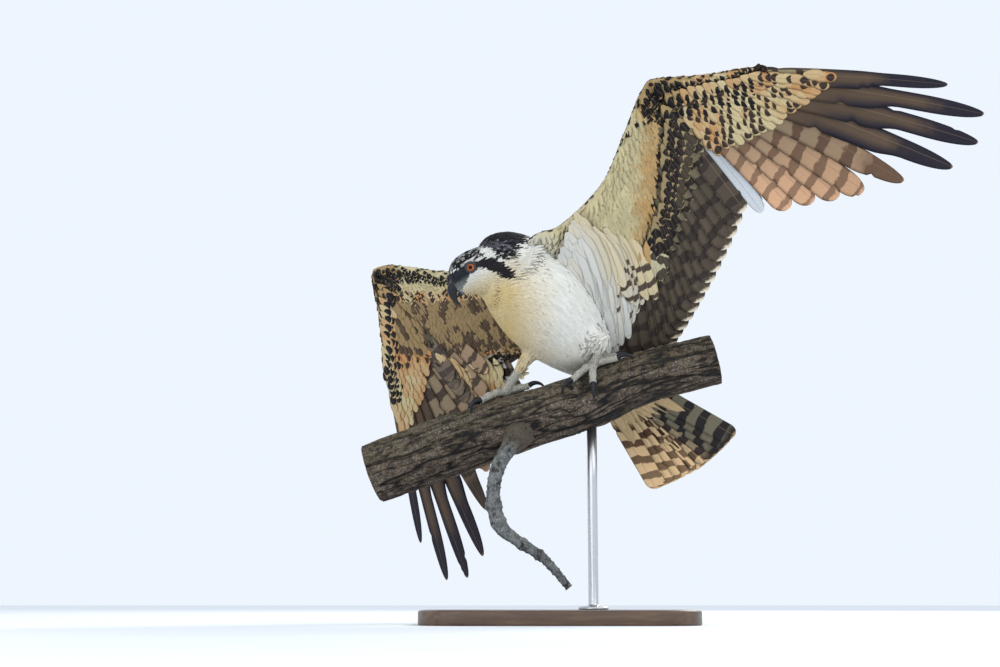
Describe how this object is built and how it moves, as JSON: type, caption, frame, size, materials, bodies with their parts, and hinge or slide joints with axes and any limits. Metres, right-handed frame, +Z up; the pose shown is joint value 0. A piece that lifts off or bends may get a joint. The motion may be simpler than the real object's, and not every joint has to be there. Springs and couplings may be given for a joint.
{
  "type": "osprey figure on perch",
  "caption": "Life-size osprey standing on a short cut branch with both wings spread, held by a rod over a flat base.",
  "frame": {"origin": "centre of the stand base's underside, on the surface it stands on", "axes": "+Z up; the bird looks towards -X; -Y is the side that its breast and the undersides of its wings face"},
  "size_m": [0.8735, 0.3882, 0.7559],
  "materials": {
    "body_feathers": "soft overlapping feathers, white below, dark brown above",
    "flight_feathers": "brown barred vanes with pale edges",
    "bill": "black horn with a blue-grey cere",
    "eye": "wet orange iris and black pupil",
    "foot_skin": "pale grey scales",
    "claw": "black horn",
    "bark": "furrowed bark with a little green algae",
    "base_wood": "satin dark wood",
    "rod_steel": "satin"
  },
  "bodies": {
    "root": {"bill_lower": "bill", "bill_upper": "bill", "claw_left_1": "claw", "claw_left_2": "claw", "claw_left_3": "claw", "claw_left_4": "claw", "claw_right_1": "claw", "claw_right_2": "claw", "claw_right_3": "claw", "claw_right_4": "claw", "eye_left": "eye", "eye_right": "eye", "foot_left": "foot_skin", "foot_right": "foot_skin", "head": "body_feathers", "leg_left": "body_feathers", "leg_right": "body_feathers", "neck": "body_feathers", "perch_branch": "bark", "perch_twig": "bark", "stand_base": "base_wood", "stand_rod": "rod_steel", "tail": "flight_feathers", "torso": "body_feathers", "wing_left_arm": "flight_feathers", "wing_left_hand": "flight_feathers", "wing_right_arm": "flight_feathers", "wing_right_hand": "flight_feathers"}
  },
  "joints": []
}
